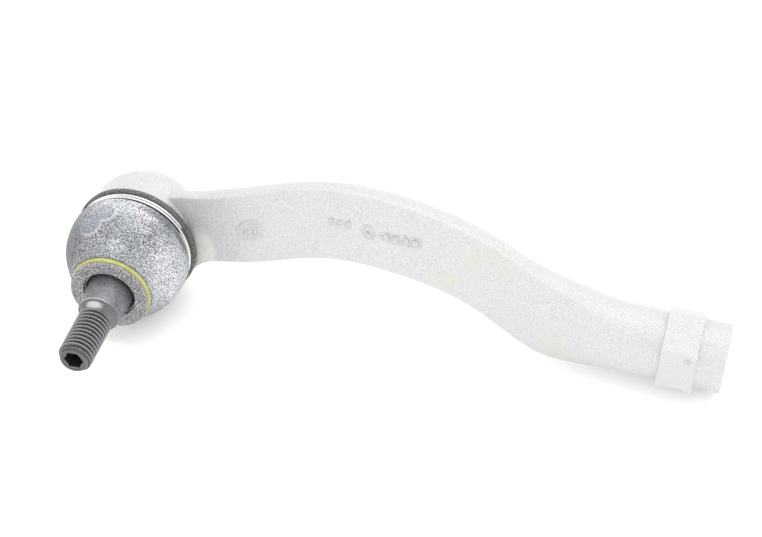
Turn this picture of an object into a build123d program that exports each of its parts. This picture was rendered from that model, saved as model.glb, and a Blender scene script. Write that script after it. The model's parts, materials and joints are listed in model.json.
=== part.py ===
from build123d import *
import os
from math import cos, radians, sin, sqrt

# Tie rod end, right hand, alloy forging. Millimetres.
# Frame: the origin is the centre of the ball. +X runs along the threaded socket's axis to its open end,
# the ball joint opens towards -Y, and +Z is the side that the curved arm bows to.
# "Height" below is the distance from the ball's centre towards the joint's mouth, which is along -Y.

# Driving dimensions
ball_r = 13.5
ball_clearance = 0.05
stud_tilt = 3.8            # degrees off the housing's axis, as the part lies
stud_heading = -57.0       # degrees from +X towards +Z, the side that the stud leans to

stud_thread_r = 6.0        # M12 x 1.75
stud_thread_pitch = 1.75
stud_root_r = 4.93
stud_neck_r = 6.75
neck_end = 24.0            # distances along the stud from the ball's centre
taper_start = 30.0
taper_small_r = 7.25
taper_ratio = 6.0          # the taper narrows 1 mm in diameter over this length
collar_at = 46.5
thread_start = 48.0
stud_tip = 70.5
stud_point = 1.0           # unthreaded end
collar_step = 0.8          # slope from the collar down to the relief before the thread
relief_r = 5.33
hex_key_size = 6.0
hex_key_depth = 7.0

dome_r = 22.3              # outside of the cup, round the ball's centre
dome_flat_r = 3.0          # small flat at the back of the dome
cup_r = 21.3
cup_top = 5.5              # height of the shoulder that the boot's bead rests on
neck_r = 19.4
housing_top = 11.8
edge_break = 0.8           # chamfer of the neck's rim
cavity_r = 16.2
cavity_floor = -15.9
cavity_floor_r = 9.0
cavity_side_at = -6.9      # height where the cavity's cone meets its straight wall
seat_top = 7.0
ring_r = 17.6              # closing ring that is rolled in over the seat
ring_hole_r = 13.2
ring_top = 8.9
rolled_edge_r = 16.4
rolled_edge_rise = 0.4     # slope of the rolled edge's underside
grease_r = 4.0
grease_floor = -14.8

barrel_r = 12.2
face_edge_r = 9.9          # height of the face's edges where the arm has become the round barrel
barrel_end = 213.0
hex_band = (191.0, 203.5)
barrel_start = 199.0       # the round barrel runs from here, inside the band, to the open end
hex_size = 26.0            # across the flats
hex_turn = 30.0            # degrees, turns one corner of the band 30 degrees above -Y
hex_edge_r = 1.2
socket_minor_r = 6.19      # M14 x 1.5
socket_major_r = 7.0
socket_pitch = 1.5
socket_depth = 36.0
socket_lead = 1.6
socket_mouth_r = 7.6
plain_depth = 4.0          # unthreaded bottom of the socket
drill_tip_r = 1.0
drill_tip_depth = 3.0

boot_wall = 2.2
bead_r = 22.6
wire_r = 0.6
wire_turns = 2
wire_groove_r = 20.6
wire_groove = (7.4, 11.2)  # heights
lip_at = 36.2              # distances along the stud
lip_r = 14.2
lip_hole_r = 9.4
lip_seal_r = 8.9
neck_ring_at = 33.1
neck_ring_width = 1.7
neck_ring_r = 14.2
neck_groove_r = 13.1
insert_r = (9.8, 11.4)
insert_bottom = 32.2
insert_top = 34.4

gap = 0.05                 # between pieces that touch or press together

mouth_dir = Vector(0, -1, 0)
lean_dir = Vector(cos(radians(stud_heading)), 0, sin(radians(stud_heading)))
swing_dir = mouth_dir.cross(lean_dir)
taper_big_r = taper_small_r + (collar_at - taper_start) / taper_ratio / 2
stud_dir = mouth_dir * cos(radians(stud_tilt)) + lean_dir * sin(radians(stud_tilt))

# Profile planes: x is the radius, y is the height along the housing's axis, the stud or the socket.
housing_profile = Plane(origin=(0, 0, 0), x_dir=(1, 0, 0), z_dir=(0, 0, -1))
stud_profile = Plane(origin=(0, 0, 0), x_dir=swing_dir, z_dir=swing_dir.cross(stud_dir))
socket_profile = Plane(origin=(0, 0, 0), x_dir=(0, 1, 0), z_dir=(0, 0, -1))
socket_floor = barrel_end - socket_depth
lower_corner = (Align.MIN, Align.MIN)
housing_axis = Axis((0, 0, 0), mouth_dir)
stud_axis = Axis((0, 0, 0), stud_dir)

os.makedirs("parts", exist_ok=True)


def thread_outline(start, stop, crest_r, root_r, pitch):
    """Corners of a row of 60 degree thread ridges from start to stop: (radius, height)."""
    flank = abs(crest_r - root_r) * sqrt(1 / 3)
    land = (pitch - 2 * flank) / 2
    corners = []
    ridge_count = int((stop - start) / pitch)
    for ridge in range(ridge_count):
        foot = start + ridge * pitch
        corners.append((root_r, foot))
        corners.append((crest_r, foot + flank))
        corners.append((crest_r, foot + flank + land))
        corners.append((root_r, foot + 2 * flank + land))
    return corners


# ---------------------------------------------------------------- forged housing and arm
barrel_face = -sqrt(barrel_r**2 - face_edge_r**2)
arm_crown = 0.3            # how far the flat face bulges
barrel_crown = barrel_r + barrel_face
side_land = 3.2            # straight stretch of the side behind the face's edge
side_swell = 0.3

# Sections of the arm across X: x, top edge, bottom edge, front face, crown of the face, back
arm_sections = [
    (3.0, 15.0, -5.6, -3.0, 0.3, 9.0),
    (22.0, 23.6, -7.0, -5.0, 0.3, 8.6),
    (34.0, 28.4, 0.2, -7.2, 0.3, 7.8),
    (48.0, 34.2, 4.4, -8.0, 0.3, 7.0),
    (64.0, 39.4, 10.2, -8.0, 0.3, 6.8),
    (81.0, 41.6, 13.0, -8.0, 0.3, 6.8),
    (97.0, 40.6, 11.9, -8.0, 0.3, 6.8),
    (113.0, 37.4, 8.9, -8.0, 0.3, 7.0),
    (128.0, 32.0, 2.8, -8.0, 0.5, 7.4),
    (142.0, 24.4, -5.8, -7.9, 1.2, 8.3),
    (152.0, 19.4, -9.7, -7.7, 2.4, 9.6),
    (162.0, 14.8, -10.3, -7.4, 3.7, 11.0),
    (172.0, 10.8, -10.1, -7.2, 4.8, 11.9),
    *[(x, face_edge_r, -face_edge_r, barrel_face, barrel_crown, barrel_r) for x in (181.0, 188.0, 193.0)],
]

with BuildPart() as forged_housing:
    for x, top, bottom, face, crown, back in arm_sections:
        middle = (top + bottom) / 2
        half = (top - bottom) / 2
        roundness = (crown - arm_crown) / (barrel_crown - arm_crown)
        swell = side_swell + roundness * (barrel_r - face_edge_r - side_swell)
        wide_at = face + side_land + roundness * (-barrel_face - side_land)
        depth = (back - wide_at) * sqrt(1 / 2)
        rise = (half + swell) * sqrt(1 / 2)
        with BuildSketch(Plane.YZ.offset(x)):
            with BuildLine():
                ThreePointArc((face, top), (face - crown, middle), (face, bottom))
                Spline(
                    (face, bottom),
                    (wide_at, middle - half - swell),
                    (wide_at + depth, middle - rise),
                    (back, middle),
                    (wide_at + depth, middle + rise),
                    (wide_at, middle + half + swell),
                    (face, top),
                )
            make_face()
    loft()
    # wrench band
    with BuildSketch(Plane.YZ.offset(hex_band[0])):
        RegularPolygon(radius=hex_size / 2, side_count=6, major_radius=False, rotation=hex_turn)
        fillet(vertices(), hex_edge_r)
    extrude(amount=hex_band[1] - hex_band[0])
    with BuildSketch(Plane.YZ.offset(barrel_start)):
        Circle(barrel_r)
    extrude(amount=barrel_end - barrel_start)
    # cup: a ball-shaped back, a short cylinder and the neck that the boot's bead grips
    with BuildSketch(housing_profile):
        with BuildLine():
            shoulder = -sqrt(dome_r**2 - cup_r**2)
            half_way = dome_r * sqrt(1 / 2)
            back = -sqrt(dome_r**2 - dome_flat_r**2)
            Polyline(
                (dome_flat_r, back), (0, back), (0, housing_top),
                (neck_r - edge_break, housing_top), (neck_r, housing_top - edge_break),
                (neck_r, cup_top), (cup_r, cup_top), (cup_r, shoulder),
            )
            ThreePointArc((cup_r, shoulder), (half_way, -half_way), (dome_flat_r, back))
        make_face()
    revolve(axis=housing_axis)
    # cavity for the ball seat, the step for the closing ring and the rolled edge over the ring
    with BuildSketch(housing_profile):
        with BuildLine():
            Polyline(
                (0, cavity_floor), (cavity_floor_r, cavity_floor),
                (cavity_r, cavity_side_at), (cavity_r, seat_top),
                (ring_r, seat_top), (ring_r, ring_top), (rolled_edge_r, ring_top + rolled_edge_rise),
                (rolled_edge_r, housing_top), (0, housing_top), (0, cavity_floor),
            )
        make_face()
    revolve(axis=housing_axis, mode=Mode.SUBTRACT)
    # threaded socket: a bore at the thread's inner size, then the thread's rounds cut into its wall
    with BuildSketch(socket_profile):
        with BuildLine():
            Polyline(
                (0, barrel_end), (socket_mouth_r, barrel_end),
                (socket_minor_r, barrel_end - socket_lead), (socket_minor_r, socket_floor),
                (drill_tip_r, socket_floor - drill_tip_depth), (0, socket_floor - drill_tip_depth),
                (0, barrel_end),
            )
        make_face()
    revolve(axis=Axis.X, mode=Mode.SUBTRACT)
    with BuildSketch(socket_profile):
        with BuildLine():
            rounds = thread_outline(
                socket_floor + plain_depth, barrel_end - socket_lead,
                socket_major_r, socket_minor_r, socket_pitch,
            )
            inside_bore = socket_minor_r - 1
            Polyline((inside_bore, rounds[0][1]), *rounds, (inside_bore, rounds[-1][1]), close=True)
        make_face()
    revolve(axis=Axis.X, mode=Mode.SUBTRACT)

# ---------------------------------------------------------------- inside the cup
with BuildPart() as ball_seat:
    with BuildSketch(housing_profile):
        with BuildLine():
            Polyline(
                (0, cavity_floor + gap), (cavity_floor_r, cavity_floor + gap),
                (cavity_r - gap, cavity_side_at), (cavity_r - gap, seat_top - gap),
                (0, seat_top - gap), (0, cavity_floor + gap),
            )
        make_face()
    revolve(axis=housing_axis)
    Sphere(ball_r + ball_clearance, mode=Mode.SUBTRACT)
    with BuildSketch(housing_profile):
        with Locations((0, grease_floor)):
            Rectangle(grease_r, ball_r, align=lower_corner)
    revolve(axis=housing_axis, mode=Mode.SUBTRACT)

with BuildPart() as bearing_grease:
    with BuildSketch(housing_profile):
        with Locations((0, grease_floor + gap)):
            Rectangle(grease_r - gap, -ball_r - gap - grease_floor - 0.1, align=lower_corner)
    revolve(axis=housing_axis)

with BuildPart() as closing_ring:
    with BuildSketch(housing_profile):
        with Locations((ring_hole_r, seat_top + gap)):
            Rectangle(ring_r - gap - ring_hole_r, ring_top - seat_top - 2 * gap, align=lower_corner)
    revolve(axis=housing_axis)

# ---------------------------------------------------------------- ball stud
with BuildPart() as ball_stud:
    Sphere(ball_r)
    with BuildSketch(stud_profile):
        with BuildLine():
            thread = thread_outline(
                thread_start, stud_tip - stud_point, stud_thread_r, stud_root_r, stud_thread_pitch
            )
            Polyline(
                (0, 0), (stud_neck_r, 0), (stud_neck_r, neck_end), (taper_big_r, taper_start),
                (taper_small_r, collar_at), (relief_r, collar_at + collar_step), *thread,
                (stud_root_r, stud_tip), (0, stud_tip), (0, 0),
            )
        make_face()
    revolve(axis=stud_axis)
    with BuildSketch(Plane(origin=stud_dir * stud_tip, x_dir=swing_dir, z_dir=stud_dir)):
        RegularPolygon(radius=hex_key_size / 2, side_count=6, major_radius=False)
    extrude(amount=-hex_key_depth, mode=Mode.SUBTRACT)

# ---------------------------------------------------------------- boot and its rings
# Outside radius of the boot's wall, from the bead's shoulder to the lip, as parts of the way along
boot_sections = [
    (0.0, 21.9), (0.16, 22.4), (0.34, 22.1), (0.52, 21.2), (0.7, 19.0), (0.86, 16.6), (1.0, 15.2),
]
bead_wall_r = boot_sections[0][1]
neck_wall_r = boot_sections[-1][1]
boot_shoulder = mouth_dir * (housing_top + 0.4)
boot_lip_start = stud_dir * (neck_ring_at - 0.2)
bead_top = housing_top + 0.8
neck_inner = neck_ring_at - 1.4            # inner end of the lip
groove_start = neck_ring_at - 0.1
groove_end = neck_ring_at + neck_ring_width + 0.1
seal_end = insert_top + 0.3


def boot_section(way):
    """Plane across the boot, turning from the housing's axis to the stud's on the way."""
    centre = boot_shoulder + (boot_lip_start - boot_shoulder) * way
    return Plane(origin=centre, x_dir=swing_dir, z_dir=mouth_dir + (stud_dir - mouth_dir) * way)


with BuildPart() as boot:
    for way, radius in boot_sections:
        with BuildSketch(boot_section(way)):
            Circle(radius)
    loft()
    for way, radius in boot_sections:
        with BuildSketch(boot_section(way)):
            Circle(radius - boot_wall)
    loft(mode=Mode.SUBTRACT)
    # bead on the housing's neck, with a groove for the wire
    with BuildSketch(housing_profile):
        with BuildLine():
            Polyline(
                (neck_r + gap, cup_top + gap), (bead_r, cup_top + gap), (bead_r, wire_groove[0]),
                (wire_groove_r, wire_groove[0]), (wire_groove_r, wire_groove[1]),
                (bead_wall_r, wire_groove[1]), (bead_wall_r, bead_top), (neck_r + gap, bead_top),
                close=True,
            )
        make_face()
    revolve(axis=housing_axis)
    # lip round the stud's taper, with a groove for the neck ring and a pocket for the insert
    with BuildSketch(stud_profile):
        with BuildLine():
            Polyline(
                (lip_seal_r, neck_inner), (neck_wall_r - 0.6, neck_inner), (neck_wall_r, groove_start),
                (neck_groove_r, groove_start), (neck_groove_r, groove_end), (lip_r, groove_end),
                (lip_r, lip_at), (lip_hole_r, lip_at), (lip_hole_r, seal_end), (lip_seal_r, seal_end),
                close=True,
            )
        make_face()
        with Locations((insert_r[0] - gap, insert_bottom - gap)):
            Rectangle(insert_r[1] - insert_r[0] + 2 * gap, insert_top - insert_bottom + 2 * gap,
                      align=lower_corner, mode=Mode.SUBTRACT)
    revolve(axis=stud_axis)

with BuildPart() as boot_neck_insert:
    with BuildSketch(stud_profile):
        with Locations((insert_r[0], insert_bottom)):
            Rectangle(insert_r[1] - insert_r[0], insert_top - insert_bottom, align=lower_corner)
    revolve(axis=stud_axis)

with BuildPart() as boot_neck_ring:
    with BuildSketch(stud_profile):
        with Locations((neck_groove_r + gap, neck_ring_at)):
            Rectangle(neck_ring_r - neck_groove_r - gap, neck_ring_width, align=lower_corner)
        fillet(vertices().sort_by(Axis.X)[-2:], 0.4)
    revolve(axis=stud_axis)

wire_pitch = 2 * wire_r + gap
with BuildPart() as boot_retaining_wire:
    with BuildLine() as wire_path:
        Helix(pitch=wire_pitch, height=wire_turns * wire_pitch, radius=wire_groove_r + gap + wire_r,
              center=mouth_dir * (wire_groove[0] + gap + wire_r), direction=mouth_dir)
    with BuildSketch(Plane(origin=wire_path.line @ 0, z_dir=wire_path.line % 0)):
        Circle(wire_r)
    sweep()

for piece, name in [
    (forged_housing, "forged_housing"),
    (ball_seat, "ball_seat"),
    (bearing_grease, "bearing_grease"),
    (closing_ring, "closing_ring"),
    (ball_stud, "ball_stud"),
    (boot, "boot"),
    (boot_neck_insert, "boot_neck_insert"),
    (boot_neck_ring, "boot_neck_ring"),
    (boot_retaining_wire, "boot_retaining_wire"),
]:
    piece.part.label = name
    export_step(piece.part, f"parts/{name}.step")
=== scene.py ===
import bmesh
import bpy
import json
import math
from mathutils import Matrix, Vector


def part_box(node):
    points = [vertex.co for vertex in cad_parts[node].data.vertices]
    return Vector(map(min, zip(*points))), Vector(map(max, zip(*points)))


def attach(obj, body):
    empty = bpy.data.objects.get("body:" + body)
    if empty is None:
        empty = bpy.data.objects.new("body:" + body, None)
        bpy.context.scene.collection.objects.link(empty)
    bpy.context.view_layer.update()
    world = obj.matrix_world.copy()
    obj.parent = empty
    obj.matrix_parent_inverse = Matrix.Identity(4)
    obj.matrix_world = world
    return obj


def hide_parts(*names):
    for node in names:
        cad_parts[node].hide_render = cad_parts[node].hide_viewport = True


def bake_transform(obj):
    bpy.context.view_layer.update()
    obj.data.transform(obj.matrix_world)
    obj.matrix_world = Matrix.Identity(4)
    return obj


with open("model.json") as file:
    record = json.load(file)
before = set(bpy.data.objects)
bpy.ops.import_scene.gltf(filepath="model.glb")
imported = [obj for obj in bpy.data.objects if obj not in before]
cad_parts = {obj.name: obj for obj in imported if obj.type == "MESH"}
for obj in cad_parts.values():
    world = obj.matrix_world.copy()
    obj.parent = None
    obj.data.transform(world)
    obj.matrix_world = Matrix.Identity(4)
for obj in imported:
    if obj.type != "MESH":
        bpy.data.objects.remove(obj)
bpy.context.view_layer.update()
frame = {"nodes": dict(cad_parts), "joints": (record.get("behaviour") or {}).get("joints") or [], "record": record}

# Tie rod end. Lengths in this script are in millimetres and are turned into metres where meshes are made.
# The origin is the ball's centre. The joint's mouth opens along -Y and the threaded socket's axis is +X.
# "Along" is a distance from the ball's centre along an axis, and "height" is the same along the boot.
MM = 0.001
joints = {joint["name"]: joint for joint in frame["joints"]}
mounts = {mount["name"]: mount for mount in frame["record"]["mounts"]}
mouth_dir = Vector(joints["stud_heading"]["axis"])
swing_dir = Vector(joints["stud_swing"]["axis"])
stud_dir = Vector(joints["stud_spin"]["axis"])

# The stud's M12 x 1.75 thread, its tip and the small end of its taper.
thread_crest = 6.0
thread_root = 4.93
thread_pitch = 1.75
thread_start = 49.0
stud_tip = 70.5
taper_end = 46.5
taper_small = 7.25


# ---------------------------------------------------------------- mesh helpers
def finish_mesh(name, verts, faces, material, sharp_degrees=38.0):
    """A smooth-shaded object from points in millimetres, with edges over sharp_degrees left crisp."""
    mesh = bpy.data.meshes.new(name)
    mesh.from_pydata([Vector(v) * MM for v in verts], [], faces)
    bm = bmesh.new()
    bm.from_mesh(mesh)
    bmesh.ops.remove_doubles(bm, verts=bm.verts, dist=1e-7)
    bmesh.ops.recalc_face_normals(bm, faces=bm.faces)
    limit = math.radians(sharp_degrees)
    for face in bm.faces:
        face.smooth = True
    for edge in bm.edges:
        edge.smooth = len(edge.link_faces) == 2 and edge.calc_face_angle(0.0) < limit
    bm.to_mesh(mesh)
    bm.free()
    mesh.materials.append(material)
    obj = bpy.data.objects.new(name, mesh)
    bpy.context.collection.objects.link(obj)
    return obj


def frame_at(direction):
    """Two directions across an axis. The first is the swing hinge, which the housing and the stud share."""
    across = swing_dir - direction * swing_dir.dot(direction)
    across.normalize()
    return across, direction.cross(across)


def ring_skin(rings, sides, closed):
    """Points and faces of a skin over rings. A ring is (centre, direction, radius at an angle)."""
    verts = []
    for centre, direction, radius_at in rings:
        across, up = frame_at(direction)
        for k in range(sides):
            angle = 2 * math.pi * k / sides
            verts.append(centre + (across * math.cos(angle) + up * math.sin(angle)) * radius_at(angle))
    faces = []
    last = len(rings) if closed else len(rings) - 1
    for i in range(last):
        j = (i + 1) % len(rings)
        for k in range(sides):
            n = (k + 1) % sides
            faces.append((i * sides + k, i * sides + n, j * sides + n, j * sides + k))
    if not closed:
        faces.append(tuple(range(sides - 1, -1, -1)))
        faces.append(tuple((len(rings) - 1) * sides + k for k in range(sides)))
    return verts, faces


def curve_through(points, steps):
    """A smooth curve (Catmull-Rom) through points, as a list of points."""
    out = []
    for i in range(len(points) - 1):
        before = points[max(i - 1, 0)]
        start, end = points[i], points[i + 1]
        after = points[min(i + 2, len(points) - 1)]
        for s in range(steps):
            t = s / steps
            out.append(tuple(
                0.5 * (2 * b + (c - a) * t
                       + (2 * a - 5 * b + 4 * c - d) * t**2
                       + (3 * b - a - 3 * c + d) * t**3)
                for a, b, c, d in zip(before, start, end, after)
            ))
    out.append(points[-1])
    return out


def constant(radius):
    """The same radius at every angle."""
    return lambda angle: radius


# ---------------------------------------------------------------- materials
class Nodes:
    """A material's node tree with short calls for the nodes used here."""

    def __init__(self, name, roughness=0.5, metallic=0.0, specular=0.5):
        self.material = bpy.data.materials.new(name)
        self.material.use_nodes = True
        self.tree = self.material.node_tree
        self.surface = self.tree.nodes["Principled BSDF"]
        self.surface.inputs["Roughness"].default_value = roughness
        self.surface.inputs["Metallic"].default_value = metallic
        self.surface.inputs["Specular IOR Level"].default_value = specular
        self.place = self.tree.nodes.new("ShaderNodeTexCoord").outputs["Object"]

    def link(self, source, target):
        """Joins an output to an input."""
        self.tree.links.new(source, target)

    def noise(self, size_mm, detail=2.0, roughness=0.5, distortion=0.0):
        """Noise with features about size_mm across."""
        node = self.tree.nodes.new("ShaderNodeTexNoise")
        node.inputs["Scale"].default_value = 1 / (size_mm * MM)
        node.inputs["Detail"].default_value = detail
        node.inputs["Roughness"].default_value = roughness
        node.inputs["Distortion"].default_value = distortion
        self.link(self.place, node.inputs["Vector"])
        return node.outputs["Fac"]

    def ramp(self, source, *stops):
        """Colour stops: (position, (r, g, b))."""
        node = self.tree.nodes.new("ShaderNodeValToRGB")
        elements = node.color_ramp.elements
        while len(elements) < len(stops):
            elements.new(0.5)
        for element, (position, colour) in zip(elements, stops):
            element.position = position
            element.color = (*colour, 1)
        self.link(source, node.inputs["Fac"])
        return node.outputs["Color"]

    def mix(self, share, one, two):
        """One colour going over to two as share goes from 0 to 1."""
        node = self.tree.nodes.new("ShaderNodeMix")
        node.data_type = "RGBA"
        for socket, value in ((node.inputs[0], share), (node.inputs[6], one), (node.inputs[7], two)):
            if isinstance(value, bpy.types.NodeSocket):
                self.link(value, socket)
            elif isinstance(value, tuple):
                socket.default_value = (*value, 1)
            else:
                socket.default_value = value
        return node.outputs[2]

    def spot(self, centre, size, soft=0.5):
        """1 inside an egg-shaped region and 0 outside, from its centre and half-widths in millimetres."""
        shift = self.tree.nodes.new("ShaderNodeMapping")
        shift.vector_type = "POINT"
        scale = [1 / (s * MM) for s in size]
        shift.inputs["Scale"].default_value = scale
        shift.inputs["Location"].default_value = [-c * MM * k for c, k in zip(centre, scale)]
        self.link(self.place, shift.inputs["Vector"])
        length = self.tree.nodes.new("ShaderNodeVectorMath")
        length.operation = "LENGTH"
        self.link(shift.outputs["Vector"], length.inputs[0])
        band = self.tree.nodes.new("ShaderNodeMapRange")
        band.interpolation_type = "SMOOTHSTEP"
        band.inputs["From Min"].default_value = 1 - soft
        band.inputs["From Max"].default_value = 1 + soft
        band.inputs["To Min"].default_value = 1
        band.inputs["To Max"].default_value = 0
        self.link(length.outputs["Value"], band.inputs["Value"])
        return band.outputs["Result"]

    def mask(self, source, low, high, top=1.0):
        """0 up to low, then rising to top at high."""
        return self.ramp(source, (low, (0, 0, 0)), (high, (top, top, top)))

    def maths(self, operation, one, two):
        """Blender's Math node on two numbers or sockets."""
        node = self.tree.nodes.new("ShaderNodeMath")
        node.operation = operation
        for socket, value in zip(node.inputs, (one, two)):
            if isinstance(value, bpy.types.NodeSocket):
                self.link(value, socket)
            else:
                socket.default_value = value
        return node.outputs["Value"]

    def from_axis(self, direction):
        """Distance in metres from the line through the origin along direction."""
        across = self.tree.nodes.new("ShaderNodeVectorMath")
        across.operation = "CROSS_PRODUCT"
        self.link(self.place, across.inputs[0])
        across.inputs[1].default_value = direction
        length = self.tree.nodes.new("ShaderNodeVectorMath")
        length.operation = "LENGTH"
        self.link(across.outputs["Vector"], length.inputs[0])
        return length.outputs["Value"]

    def along_axis(self, direction):
        """Distance in metres along direction from the origin."""
        dot = self.tree.nodes.new("ShaderNodeVectorMath")
        dot.operation = "DOT_PRODUCT"
        self.link(self.place, dot.inputs[0])
        dot.inputs[1].default_value = direction
        return dot.outputs["Value"]

    def between(self, distance, zero_at, one_at):
        """0 to 1 as a distance in metres goes from zero_at to one_at, both in millimetres."""
        band = self.tree.nodes.new("ShaderNodeMapRange")
        band.inputs["From Min"].default_value = zero_at * MM
        band.inputs["From Max"].default_value = one_at * MM
        self.link(distance, band.inputs["Value"])
        return band.outputs["Result"]

    def times(self, first, *others):
        """All of them multiplied together."""
        for other in others:
            first = self.maths("MULTIPLY", first, other)
        return first

    def most(self, first, *others):
        """The greatest of them."""
        for other in others:
            first = self.maths("MAXIMUM", first, other)
        return first

    def less(self, one, two):
        """One less two."""
        return self.maths("SUBTRACT", one, two)

    def pointiness(self):
        """How sharply the surface bends outward: 0.5 is flat, and more is an edge."""
        return self.tree.nodes.new("ShaderNodeNewGeometry").outputs["Pointiness"]

    def colour(self, source):
        """The surface's base colour."""
        self.link(source, self.surface.inputs["Base Color"])

    def rough(self, source, low, high):
        """Roughness from low to high as source goes from 0 to 1."""
        band = self.tree.nodes.new("ShaderNodeMapRange")
        band.inputs["To Min"].default_value = low
        band.inputs["To Max"].default_value = high
        self.link(source, band.inputs["Value"])
        self.link(band.outputs["Result"], self.surface.inputs["Roughness"])

    def bump(self, *layers):
        """Layers of (height source, depth in mm), stacked."""
        normal = None
        for source, depth in layers:
            node = self.tree.nodes.new("ShaderNodeBump")
            node.inputs["Distance"].default_value = depth * MM
            self.link(source, node.inputs["Height"])
            if normal is not None:
                self.link(normal, node.inputs["Normal"])
            normal = node.outputs["Normal"]
        self.link(normal, self.surface.inputs["Normal"])


def forged_alloy():
    """Blasted aluminium forging: pale, matte, speckled, with faint yellow-green stains, painted shade at the arm's
    root, a painted pool of light beside the cup, and edges lightened partly as rubbed wear and partly as painted
    highlight.
    """
    m = Nodes("forged_alloy", metallic=0.35, specular=0.4)
    grain = m.noise(0.42, detail=3.0, roughness=0.7)
    cloud = m.noise(9.0, detail=3.0)
    base = m.ramp(grain, (0.36, (0.48, 0.48, 0.488)), (0.5, (0.60, 0.60, 0.61)),
                  (0.64, (0.70, 0.70, 0.708)))
    base = m.mix(m.mask(cloud, 0.35, 0.7, 0.35), base, (0.62, 0.62, 0.625))

    # Painted shade: the arm's root, in the hollow beside the boot, is darkened with a coarser speckle.
    arm_root_shade = m.spot((31, -7, 10), (9, 8, 22))
    coarse_grain_in_shade = m.ramp(grain, (0.42, (0.34, 0.34, 0.35)), (0.58, (0.64, 0.64, 0.65)))
    base = m.mix(m.times(arm_root_shade, 0.36), base, coarse_grain_in_shade)
    # A painted pool of light lightens the alloy beside the cup, where the boot leaves it in shadow. A real stain
    # further down sits at the same place.
    beside_cup = (24.9, -5.5, 1.8)
    base = m.mix(m.times(m.spot(beside_cup, (5, 5, 8)), 0.8), base, (0.88, 0.88, 0.87))

    stains = m.most(m.spot((129, -8, 25.4), (10, 7, 6)), m.spot((114, -8, 14.9), (6, 6, 5)),
                    m.spot((155.6, -9, -5), (6, 6, 7)), m.spot(beside_cup, (4, 5, 7)))
    blotch = m.noise(4.0, detail=4.0, distortion=0.6)
    patches = m.ramp(blotch, (0.40, (0.3, 0.3, 0.3)), (0.6, (1, 1, 1)))
    base = m.mix(m.times(stains, patches, 0.38), base, (0.60, 0.61, 0.46))

    # Edges are lightened, partly as rubbed wear and partly as a painted highlight along them.
    rubbed_and_highlit = m.mask(m.pointiness(), 0.535, 0.575, 0.6)
    m.colour(m.mix(rubbed_and_highlit, base, (0.84, 0.84, 0.845)))
    m.rough(grain, 0.42, 0.62)
    m.bump((cloud, 0.25), (grain, 0.16))
    return m.material


def marked_alloy():
    """The same alloy on raised marks, worn a little smoother, and darker as painted shade that makes the marks
    stand out as their shadowed edges do.
    """
    m = Nodes("marked_alloy", metallic=0.35, specular=0.4)
    grain = m.noise(0.5, detail=2.0)
    m.colour(m.ramp(grain, (0.36, (0.42, 0.42, 0.42)), (0.64, (0.62, 0.62, 0.62))))
    m.rough(grain, 0.4, 0.55)
    m.bump((grain, 0.06))
    return m.material


def boot_rubber():
    """Black rubber under a frosted bloom: sharply speckled and pale in blotches, with painted light on its right
    side and shoulder, a painted highlight round a patch, painted shadow under the wire and painted shade on its
    left side.
    """
    m = Nodes("boot_rubber", specular=0.3)
    speck = m.noise(0.46, detail=2.0, roughness=0.6)
    mottle = m.noise(2.8, detail=4.0, roughness=0.6, distortion=0.4)
    drift = m.noise(13.0, detail=2.0)
    dark = m.ramp(speck, (0.43, (0.045, 0.045, 0.05)), (0.5, (0.19, 0.19, 0.21)),
                  (0.57, (0.46, 0.46, 0.49)))
    pale = m.ramp(speck, (0.42, (0.18, 0.18, 0.20)), (0.5, (0.52, 0.52, 0.55)), (0.57, (0.93, 0.93, 0.95)))

    # Painted light on the boot's right side and on its top shoulder, with two pale marks at half strength,
    # lightens the rubber towards the pale speckle.
    right_side = m.spot((20, -23, 2), (12, 10, 12), 0.6)
    shoulder = m.spot((1, -14.5, 23), (15, 5, 6), 0.6)
    thumb_mark = m.spot((1.8, -29.8, 15.3), (3.2, 2.6, 2.2), 0.4)
    smudge = m.spot((6, -20, 19), (5, 4, 6), 0.8)
    light = m.most(right_side, shoulder, m.times(m.most(thumb_mark, smudge), 0.5))
    blotches = m.mask(mottle, 0.35, 0.65, 0.30)
    base = m.mix(m.maths("ADD", blotches, m.times(light, 0.92)), dark, pale)
    base = m.mix(m.mask(drift, 0.4, 0.6, 0.3), base, (0.24, 0.29, 0.29))

    crisp = 0.06
    patch = m.most(m.spot((-10.6, -22.3, 17.2), (4.4, 4.2, 4.4), crisp),
                   m.spot((-6.9, -19.1, 20.3), (4.6, 3.2, 3.6), crisp))
    # The rim round the patch is lightened as a painted highlight on its raised edge.
    patch_and_rim = m.most(m.spot((-10.1, -22.9, 17.0), (4.9, 4.7, 4.9), crisp),
                           m.spot((-6.4, -19.7, 20.1), (5.1, 3.7, 4.1), crisp))
    base = m.mix(m.times(m.less(patch_and_rim, patch), 0.45), base, (0.62, 0.64, 0.68))
    scuff = m.ramp(speck, (0.42, (0.16, 0.18, 0.21)), (0.58, (0.42, 0.45, 0.50)))
    base = m.mix(m.times(patch, 0.55), base, scuff)

    # Painted shadow in a band just under the wire, and painted shade on the boot's left side.
    shadow_under_wire = m.most(m.spot((12, -13.6, 18.5), (9, 1.7, 6)), m.spot((19.5, -13.4, 10), (4, 1.5, 7)))
    left_side = m.spot((-17, -25, 7), (9, 9, 9), 0.6)
    shade = m.most(m.times(shadow_under_wire, 0.65), m.times(left_side, 0.5))
    m.colour(m.mix(shade, base, (0.085, 0.085, 0.095)))
    m.rough(mottle, 0.5, 0.8)
    m.bump((mottle, 0.16), (speck, 0.12))
    return m.material


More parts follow.
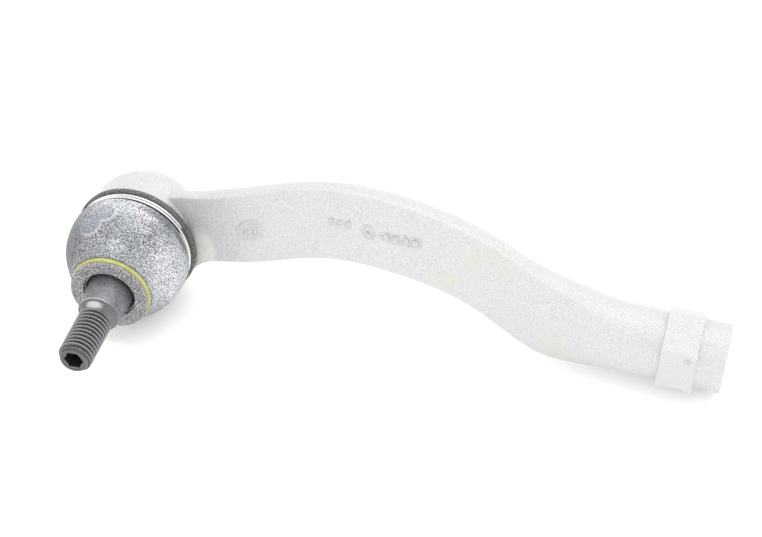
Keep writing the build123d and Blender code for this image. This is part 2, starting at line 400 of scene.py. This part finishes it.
def lip_rubber():
    """The boot's lip round the stud, blacker, with sharp pale specks."""
    m = Nodes("lip_rubber", specular=0.4)
    speck = m.noise(0.42, detail=2.0, roughness=0.6)
    base = m.ramp(speck, (0.40, (0.08, 0.08, 0.085)), (0.5, (0.22, 0.22, 0.23)), (0.60, (0.56, 0.56, 0.58)))
    m.colour(base)
    m.rough(speck, 0.45, 0.7)
    m.bump((speck, 0.12))
    return m.material


def bead_rubber():
    """The boot's bead, blacker than the bulge and with fewer pale specks."""
    m = Nodes("bead_rubber", specular=0.45)
    speck = m.noise(0.5, detail=3.0, roughness=0.7)
    m.colour(m.ramp(speck, (0.4, (0.035, 0.036, 0.038)), (0.6, (0.20, 0.205, 0.21))))
    m.rough(speck, 0.45, 0.65)
    m.bump((speck, 0.06))
    return m.material


def yellow_ring():
    """Moulded yellow plastic, a little dirty."""
    m = Nodes("yellow_ring", specular=0.4)
    cloud = m.noise(3.0, detail=3.0)
    speck = m.noise(0.4, detail=2.0)
    base = m.ramp(cloud, (0.35, (0.37, 0.38, 0.11)), (0.65, (0.50, 0.51, 0.18)))
    m.colour(m.mix(m.mask(speck, 0.55, 0.7, 0.5), base, (0.33, 0.34, 0.12)))
    m.rough(speck, 0.4, 0.6)
    m.bump((speck, 0.04))
    return m.material


def stud_steel():
    """Dark phosphated steel: crests and edges lightened partly as rubbed wear and partly as painted highlight,
    painted shade on the thread and deeper in its roots, painted shade in the relief, and painted highlights in a
    strip under the taper and along the taper's edge.
    """
    m = Nodes("stud_steel", metallic=0.75, specular=0.5)
    from_axis = m.from_axis(stud_dir)
    along = m.along_axis(stud_dir)
    grain = m.noise(0.4, detail=3.0, roughness=0.6)
    cloud = m.noise(4.0, detail=3.0)
    base = m.ramp(grain, (0.38, (0.11, 0.112, 0.12)), (0.62, (0.29, 0.292, 0.31)))
    base = m.mix(m.mask(cloud, 0.45, 0.7, 0.45), base, (0.36, 0.365, 0.385))

    threaded = m.between(along, thread_start, thread_start + 0.3)
    grooves = m.times(m.between(from_axis, thread_crest - 0.2, thread_root + 0.3), threaded)
    # Painted shade: the threaded length is darkened, and its grooves darkened more, as shade in the thread's
    # roots.
    base = m.mix(m.times(threaded, 0.35), base, (0.10, 0.10, 0.105))
    base = m.mix(m.times(grooves, 0.62), base, (0.02, 0.02, 0.022))

    on_taper = m.between(along, taper_end - 0.1, taper_end - 0.5)
    relief = m.times(m.less(1.0, on_taper), m.less(1.0, threaded))
    # Painted shade in the hollow relief between the taper and the thread.
    base = m.mix(m.times(relief, 0.5), base, (0.09, 0.09, 0.095))
    # A painted highlight strip on the relief's lit side, just past the taper's end.
    lit_strip = m.spot(stud_dir * (taper_end + 1.5) + Vector((-0.9, -0.3, 6.2)), (2.8, 1.3, 2.4))
    past_edge = m.between(along, taper_end + 0.3, taper_end + 0.6)
    base = m.mix(m.times(lit_strip, past_edge, 0.66), base, (0.72, 0.72, 0.73))

    # A painted highlight along the taper's rounded small end, on its lit side.
    taper_edge = m.times(m.between(from_axis, taper_small - 0.15, taper_small - 0.02),
                         m.between(along, taper_end - 0.75, taper_end - 0.45))
    lit_side = m.spot(stud_dir * taper_end + Vector((-3.0, 0.0, 6.0)), (7, 4, 6), 0.4)
    base = m.mix(m.times(taper_edge, lit_side, 0.5), base, (0.62, 0.62, 0.63))

    # Crests and sharp edges are lightened, partly as rubbed wear and partly as painted highlight.
    crests = m.times(m.between(from_axis, thread_crest - 0.25, thread_crest - 0.05), threaded)
    rubbed_and_highlit = m.most(m.mask(m.pointiness(), 0.515, 0.56, 0.75), crests)
    m.colour(m.mix(m.times(rubbed_and_highlit, 0.8), base, (0.34, 0.34, 0.35)))
    m.rough(grain, 0.30, 0.5)
    m.bump((grain, 0.08))
    return m.material


def bright_steel(name, tone):
    """Drawn or pressed steel, finely streaked."""
    m = Nodes(name, metallic=0.9)
    grain = m.noise(0.25, detail=2.0)
    cloud = m.noise(5.0, detail=3.0)
    low = tone * 0.75
    streaks = m.ramp(grain, (0.3, (low, low, low)), (0.7, (tone, tone, tone)))
    m.colour(m.mix(cloud, streaks, (tone, tone, tone * 0.98)))
    m.rough(grain, 0.25, 0.4)
    m.bump((grain, 0.02))
    return m.material


def seat_plastic():
    """Ivory bearing plastic."""
    m = Nodes("seat_plastic", specular=0.45)
    cloud = m.noise(4.0, detail=3.0)
    m.colour(m.ramp(cloud, (0.3, (0.78, 0.76, 0.69)), (0.7, (0.87, 0.86, 0.80))))
    m.rough(cloud, 0.35, 0.45)
    m.bump((cloud, 0.03))
    return m.material


def grease():
    """Amber grease, glossy and lumpy."""
    m = Nodes("grease", specular=0.6)
    cloud = m.noise(1.5, detail=3.0)
    m.colour(m.ramp(cloud, (0.3, (0.42, 0.28, 0.08)), (0.7, (0.60, 0.44, 0.16))))
    m.rough(cloud, 0.15, 0.3)
    m.bump((cloud, 0.2))
    return m.material


def floor_white():
    """A pale backlit sheet, which keeps the part's shadow faint.

    It fades out round the stud, so that a stud swung down past the sheet still shows in full.
    """
    m = Nodes("floor_white", roughness=0.9, specular=0.1)
    cloud = m.noise(300.0, detail=1.0)
    pale = m.ramp(cloud, (0.3, (0.93, 0.93, 0.935)), (0.7, (0.95, 0.95, 0.95)))
    m.colour(pale)
    m.link(pale, m.surface.inputs["Emission Color"])
    m.surface.inputs["Emission Strength"].default_value = 0.16
    under_stud_tip = (0, -62, -24.5)
    opening = m.spot(under_stud_tip, (34, 24, 30), 0.25)
    m.link(m.less(1.0, opening), m.surface.inputs["Alpha"])
    return m.material


# ---------------------------------------------------------------- carried-over CAD nodes
def dress(node, material):
    """Gives a CAD node that stays in view its material and smooth shading."""
    obj = frame["nodes"][node]
    obj.data.materials.clear()
    obj.data.materials.append(material)
    for polygon in obj.data.polygons:
        polygon.use_smooth = True
    return obj


# The housing's skin is evened out so that its edges can be rounded a little, as forged edges are.
skin_voxel = 0.32
housing = dress("forged_housing", forged_alloy())
remesh = housing.modifiers.new("even_skin", "REMESH")
remesh.mode = "VOXEL"
remesh.voxel_size = skin_voxel * MM
remesh.use_smooth_shade = True
soften = housing.modifiers.new("forged_edges", "SMOOTH")
soften.factor = 0.5
soften.iterations = 3
dress("ball_seat", seat_plastic())
dress("bearing_grease", grease())
dress("closing_ring", bright_steel("ring_steel", 0.55))
dress("boot_neck_insert", bright_steel("insert_steel", 0.5))


# ---------------------------------------------------------------- ball stud
def hexagon(across_flats):
    """Radius of a hexagon's outline at an angle."""
    sector = math.pi / 3
    return lambda angle: across_flats / 2 / math.cos((angle + sector / 2) % sector - sector / 2)


def thread_radius(along, crest, root, pitch, start, stop):
    """Radius of a helical 60 degree thread at an angle, fading in at start and stop."""
    slope = math.sqrt(3)
    half_land = pitch / 16
    fade = min(1, max(0, (along - start) / pitch), max(0, (stop - along) / pitch))
    top = root + (crest - root) * fade

    def radius(angle):
        phase = (along / pitch - angle / (2 * math.pi)) % 1
        off_crest = max(0, abs(phase - 0.5) * pitch - half_land)
        return max(root, top - off_crest * slope)

    return radius


def stud_rings():
    """Rings of the stud along its axis, from the ball's back to the bottom of the key socket."""
    ball_r = -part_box("ball_stud")[0].x / MM
    neck_r = 6.75
    neck_start = 12.4
    neck_end = 24.0
    taper_start = 30.0
    taper_big = 8.62
    rings = []

    def add(along, radius):
        """A ring at a distance along the stud. radius is a number or a function of the angle."""
        rings.append((stud_dir * along, stud_dir, radius if callable(radius) else constant(radius)))

    ball_steps = 48
    neck_angle = math.pi - math.asin(neck_r / ball_r)
    for k in range(1, ball_steps + 1):
        turn = neck_angle * k / ball_steps
        add(-ball_r * math.cos(turn), ball_r * math.sin(turn))
    neck = [(neck_start, neck_r), (16.0, neck_r), (neck_end, neck_r), (27.5, 7.6), (taper_start, taper_big)]
    for along, radius in curve_through(neck, 6):
        add(along, radius)

    # The taper's small end has a rounded edge, then the relief drops in a soft hollow to the thread.
    edge = 0.25
    taper_steps = 12
    for k in range(1, taper_steps + 1):
        share = k / taper_steps
        add(taper_start + (taper_end - edge - taper_start) * share,
            taper_big + (taper_small + 0.02 - taper_big) * share)
    relief = [(-0.08, taper_small + 0.02), (0.0, taper_small - 0.08), (0.05, 6.95), (0.10, 6.72),
              (0.35, 6.52), (0.9, 6.2), (1.5, 5.85), (2.1, 5.45), (2.5, thread_root + 0.15)]
    for past_taper, radius in relief:
        add(taper_end + past_taper, radius)

    thread_steps = 220
    start = thread_start + 0.1
    stop = stud_tip - 1.0
    fade_from = start - 0.7
    fade_to = stop + 0.8
    for k in range(thread_steps + 1):
        along = start + (stop - start) * k / thread_steps
        add(along, thread_radius(along, thread_crest, thread_root, thread_pitch, fade_from, fade_to))

    # The tip is rounded over and has a hexagonal key socket with a drilled bottom.
    for before_tip, radius in [(0.75, 5.05), (0.25, 4.75), (0.05, 4.55), (0, 4.4), (0, 3.95), (0.1, 3.8)]:
        add(stud_tip - before_tip, radius)
    key = hexagon(across_flats=6.0)
    for depth in (0.45, 0.6, 3.5, 6.6, 6.9):
        add(stud_tip - depth, key)
    for depth, radius in [(7.0, 2.7), (7.9, 1.2), (8.3, 0.2)]:
        add(stud_tip - depth, radius)
    return rings


verts, faces = ring_skin(stud_rings(), 144, closed=False)
stud = finish_mesh("ball_stud_turned", verts, faces, stud_steel(), sharp_degrees=50)
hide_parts("ball_stud")
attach(stud, "ball_stud")


# ---------------------------------------------------------------- boot
bend_start = 12.5
bend_end = 31.0
bead_top = 11.25
lip_start = 34.0


def boot_path(height):
    """Centre and direction of the boot at a height. It bends from the housing's axis to the stud's."""
    share = min(1, max(0, (height - bend_start) / (bend_end - bend_start)))
    share = share * share * (3 - 2 * share)
    direction = mouth_dir.lerp(stud_dir, share).normalized()
    return direction * height, direction


def boot_profile():
    """(height, radius) round the boot's section: outside from bead to lip, then back along the inside."""
    flange = [(5.58, 19.55), (5.58, 22.1), (5.66, 22.4), (5.9, 22.58), (6.3, 22.64), (6.8, 22.6),
              (7.15, 22.45), (7.35, 22.15), (7.42, 21.7), (7.45, 20.7)]
    wire_groove = [(7.55, 20.6), (11.1, 20.6), (11.2, 20.7), (11.22, 21.5)]
    bulge = curve_through([(11.3, 21.75), (11.9, 22.15), (13.5, 22.4), (16.5, 22.2), (20.0, 21.6),
                           (23.0, 20.5), (26.0, 18.9), (28.8, 17.1), (30.8, 15.9), (31.9, 15.3)], 6)
    ring_groove = [(32.5, 15.0), (32.8, 14.75), (32.85, 14.3), (32.87, 13.15), (34.85, 13.12),
                   (34.88, 13.75)]
    lip = [(35.0, 14.0), (35.35, 14.12), (35.7, 14.15), (36.0, 14.05), (36.17, 13.82), (36.22, 13.5),
           (36.14, 12.6), (36.02, 11.2), (36.0, 10.4), (36.02, 9.9), (35.9, 9.55), (35.6, 9.42),
           (34.75, 9.4), (34.7, 8.92), (31.9, 8.9), (31.75, 9.1), (31.7, 9.5)]
    inside = curve_through([(31.5, 12.6), (30.0, 14.0), (28.0, 15.4), (25.5, 16.9), (22.5, 18.2),
                            (19.5, 19.2), (16.0, 19.9), (13.5, 20.1), (12.3, 19.9)], 4)
    bead_wall = [(12.0, 19.6), (11.0, 19.55)]
    return flange + wire_groove + bulge + ring_groove + lip + inside + bead_wall


def boot_ripple(height, angle):
    """Slight unevenness of moulded rubber on the bulge, in millimetres."""
    fade = 4
    share = max(0, min(1, (height - bend_start) / fade, (bend_end + 0.5 - height) / fade))
    three_waves = 0.10 * math.sin(3 * angle + 0.7)
    five_waves = 0.06 * math.sin(5 * angle + height * 0.35)
    return share * (three_waves + five_waves)


def boot_rings():
    """Rings of the boot round its bent path. The bulge is rippled, and the lip and its groove aren't."""
    bulge_least_r = 15
    rings = []
    for height, radius in boot_profile():
        centre, direction = boot_path(height)

        def uneven(angle, height=height, radius=radius):
            return radius + (boot_ripple(height, angle) if radius > bulge_least_r else 0)

        rings.append((centre, direction, uneven))
    return rings


verts, faces = ring_skin(boot_rings(), 160, closed=True)
boot = finish_mesh("boot_rubber_shell", verts, faces, boot_rubber(), sharp_degrees=45)
boot.data.materials.append(bead_rubber())
boot.data.materials.append(lip_rubber())
for polygon in boot.data.polygons:
    if -polygon.center.y < bead_top * MM:
        polygon.material_index = 1
    elif polygon.center.dot(stud_dir) > lip_start * MM:
        polygon.material_index = 2
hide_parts("boot")
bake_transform(boot)


# ---------------------------------------------------------------- boot rings
def neck_ring_rings():
    """Rings of the yellow ring that sits in the boot's groove, with rounded corners."""
    profile = [(32.95, 13.2), (32.95, 13.9), (33.05, 14.2), (33.25, 14.38), (33.5, 14.45), (34.2, 14.45),
               (34.5, 14.38), (34.7, 14.2), (34.78, 13.9), (34.78, 13.2)]
    return [(stud_dir * along, stud_dir, constant(radius)) for along, radius in profile]


verts, faces = ring_skin(neck_ring_rings(), 144, closed=True)
neck_ring = finish_mesh("boot_neck_ring_moulded", verts, faces, yellow_ring(), sharp_degrees=60)
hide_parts("boot_neck_ring")
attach(neck_ring, "boot_neck")


def wire_spring():
    """The two-turn wire that grips the boot's bead. It is thinner just at its ends."""
    wire_r = 0.48
    coil_r = 21.2
    pitch = 1.38
    turns = 2.0
    first_turn = 7.92
    end_share = 0.55
    growth_per_step = 0.225
    across, up = frame_at(mouth_dir)
    sides = 14
    steps = 320
    verts = []
    faces = []
    for i in range(steps + 1):
        angle = 2 * math.pi * turns * i / steps
        outward = across * math.cos(angle) + up * math.sin(angle)
        centre = outward * coil_r + mouth_dir * (first_turn + pitch * turns * i / steps)
        steps_from_end = min(i, steps - i)
        thickness = wire_r * min(1.0, end_share + growth_per_step * steps_from_end)
        for k in range(sides):
            turn = 2 * math.pi * k / sides
            verts.append(centre + (outward * math.cos(turn) + mouth_dir * math.sin(turn)) * thickness)
    for i in range(steps):
        for k in range(sides):
            n = (k + 1) % sides
            faces.append((i * sides + k, i * sides + n, (i + 1) * sides + n, (i + 1) * sides + k))
    faces.append(tuple(range(sides)))
    faces.append(tuple(steps * sides + k for k in range(sides)))
    return verts, faces


verts, faces = wire_spring()
wire_steel = bright_steel("wire_steel", 0.88)
wire = finish_mesh("boot_retaining_wire_coil", verts, faces, wire_steel, sharp_degrees=60)
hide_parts("boot_retaining_wire")
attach(wire, "housing")


# ---------------------------------------------------------------- raised marks, generic shapes only
mark_alloy = marked_alloy()
arm_face_y = -8.25
pad_height = 0.16
mark_height = 0.55


def raised_mark(name, outline, height):
    """A low raised shape on the arm's front face, with a softened edge. outline is (x, z) points."""
    sink = 0.4
    levels = [(1.0, arm_face_y + sink), (1.0, arm_face_y - height * 0.55),
              (0.94, arm_face_y - height * 0.9), (0.84, arm_face_y - height)]
    count = len(outline)
    middle_x = sum(x for x, z in outline) / count
    middle_z = sum(z for x, z in outline) / count
    verts = []
    faces = []
    for shrink, y in levels:
        for x, z in outline:
            verts.append((middle_x + (x - middle_x) * shrink, y, middle_z + (z - middle_z) * shrink))
    for level in range(len(levels) - 1):
        low = level * count
        high = low + count
        for k in range(count):
            n = (k + 1) % count
            faces.append((low + k, low + n, high + n, high + k))
    faces.append(tuple(range(count)))
    faces.append(tuple((len(levels) - 1) * count + k for k in range(count)))
    mark = finish_mesh(name, verts, faces, mark_alloy, sharp_degrees=60)
    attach(mark, "housing")


def pill(x, z, long_side, short_side, turn, steps=10):
    """Outline of a stadium centred on (x, z), its long side turned by turn degrees."""
    half = (long_side - short_side) / 2
    points = []
    for end, start in ((1, -90), (-1, 90)):
        for k in range(steps + 1):
            angle = math.radians(start + 180 * k / steps)
            points.append((end * half + short_side / 2 * math.cos(angle), short_side / 2 * math.sin(angle)))
    c = math.cos(math.radians(turn))
    s = math.sin(math.radians(turn))
    return [(x + px * c - pz * s, z + px * s + pz * c) for px, pz in points]


# A pad with two bars, three bars, a short pad with a diamond, and a tablet with four pips.
raised_mark("mark_pad", pill(x=43.6, z=17.2, long_side=11.0, short_side=8.0, turn=45), pad_height)
for k in range(2):
    bar = pill(x=42.0 + 3.4 * k, z=16.2 + 1.6 * k, long_side=3.4, short_side=1.2, turn=70)
    raised_mark(f"mark_pad_bar_{k}", bar, mark_height)
for k in range(3):
    bar = pill(x=72.6 + 3.0 * k, z=28.6 + 0.1 * k, long_side=3.4, short_side=1.7, turn=75)
    raised_mark(f"mark_bar_{k}", bar, height=0.45)
raised_mark("mark_shield", pill(x=86.0, z=27.6, long_side=6.6, short_side=5.0, turn=-60), pad_height)
diamond = pill(x=86.0, z=27.2, long_side=2.6, short_side=2.0, turn=40, steps=1)
raised_mark("mark_diamond", diamond, mark_height)
raised_mark("mark_tablet", pill(x=97.7, z=27.15, long_side=15.6, short_side=4.8, turn=0), height=0.14)
for k in range(4):
    pip = pill(x=92.6 + 3.4 * k, z=27.15, long_side=2.9, short_side=2.2, turn=90, steps=8)
    raised_mark(f"mark_pip_{k}", pip, mark_height)


def round_boss(name, centre, outward, radius, height):
    """A low round boss with a rounded rim and a shallow dish in its top."""
    profile = [(-0.5, 1.0), (0.5, 1.0), (0.85, 0.93), (1.0, 0.8), (0.9, 0.6), (0.55, 0.45), (0.45, 0.2)]
    rings = []
    for along, share in profile:
        rings.append((Vector(centre) + outward * along * height, outward, constant(radius * share)))
    verts, faces = ring_skin(rings, 40, closed=False)
    boss = finish_mesh(name, verts, faces, mark_alloy, sharp_degrees=60)
    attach(boss, "housing")


# The wrench band has six flats, and the one at the front faces -Y like the joint's mouth.
flat_r = Vector(mounts["wrench_flat"]["pos_m"]).yz.length / MM
round_boss("mark_dimple", centre=(200.4, -flat_r, 5.2), outward=mouth_dir, radius=1.2, height=0.3)


# ---------------------------------------------------------------- floor, light and camera
def place_floor():
    """A pale floor under the part, which rests on the boot's bead and on a corner of the wrench band."""
    cup_low = Vector((0, 0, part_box("boot")[0].z / MM))
    band_low = Vector((197.0, 0, -14.8))
    along = (band_low - cup_low).normalized()
    tilt = 0.031
    side = Vector((0.0, 1.0, tilt)).normalized()
    half = 2500.0
    corners = []
    for a, b in ((-1, -1), (1, -1), (1, 1), (-1, 1)):
        corners.append(cup_low + along * a * half + side * b * half)
    finish_mesh("floor", corners, [(0, 1, 2, 3)], floor_white())


place_floor()

world = bpy.data.worlds.new("studio")
bpy.context.scene.world = world
world.use_nodes = True
sky = world.node_tree.nodes["Background"]
sky.inputs["Color"].default_value = (1.0, 1.0, 1.0, 1)
sky.inputs["Strength"].default_value = 1.3


def soft_light(name, place, target, size, watts):
    """A round softbox in metres, aimed at a target."""
    light = bpy.data.lights.new(name, "AREA")
    light.shape = "DISK"
    light.size = size
    light.energy = watts
    lamp = bpy.data.objects.new(name, light)
    lamp.location = place
    lamp.rotation_euler = (Vector(target) - Vector(place)).to_track_quat("-Z", "Y").to_euler()
    bpy.context.collection.objects.link(lamp)


part_middle = (0.1, 0.0, 0.01)
soft_light("top_softbox", place=(0.35, 0.25, 1.1), target=part_middle, size=1.0, watts=3.2)

# The camera looks down at the joint's mouth through a long lens, as in the photo.
camera_data = bpy.data.cameras.new("camera")
camera_data.lens = 85.0
camera_data.sensor_width = 36.0
camera = bpy.data.objects.new("camera", camera_data)
bpy.context.collection.objects.link(camera)
eye = Vector((203.4, -487.1, 396.5)) * MM
forward = Vector((-0.1796, 0.7680, -0.6147)).normalized()
right = Vector((0.9614, 0.2694, 0.0556))
up = right.cross(forward).normalized()
right = forward.cross(up)
camera.matrix_world = Matrix.Translation(eye) @ Matrix((right, up, -forward)).transposed().to_4x4()
bpy.context.scene.camera = camera
bpy.context.scene.view_settings.view_transform = "Standard"
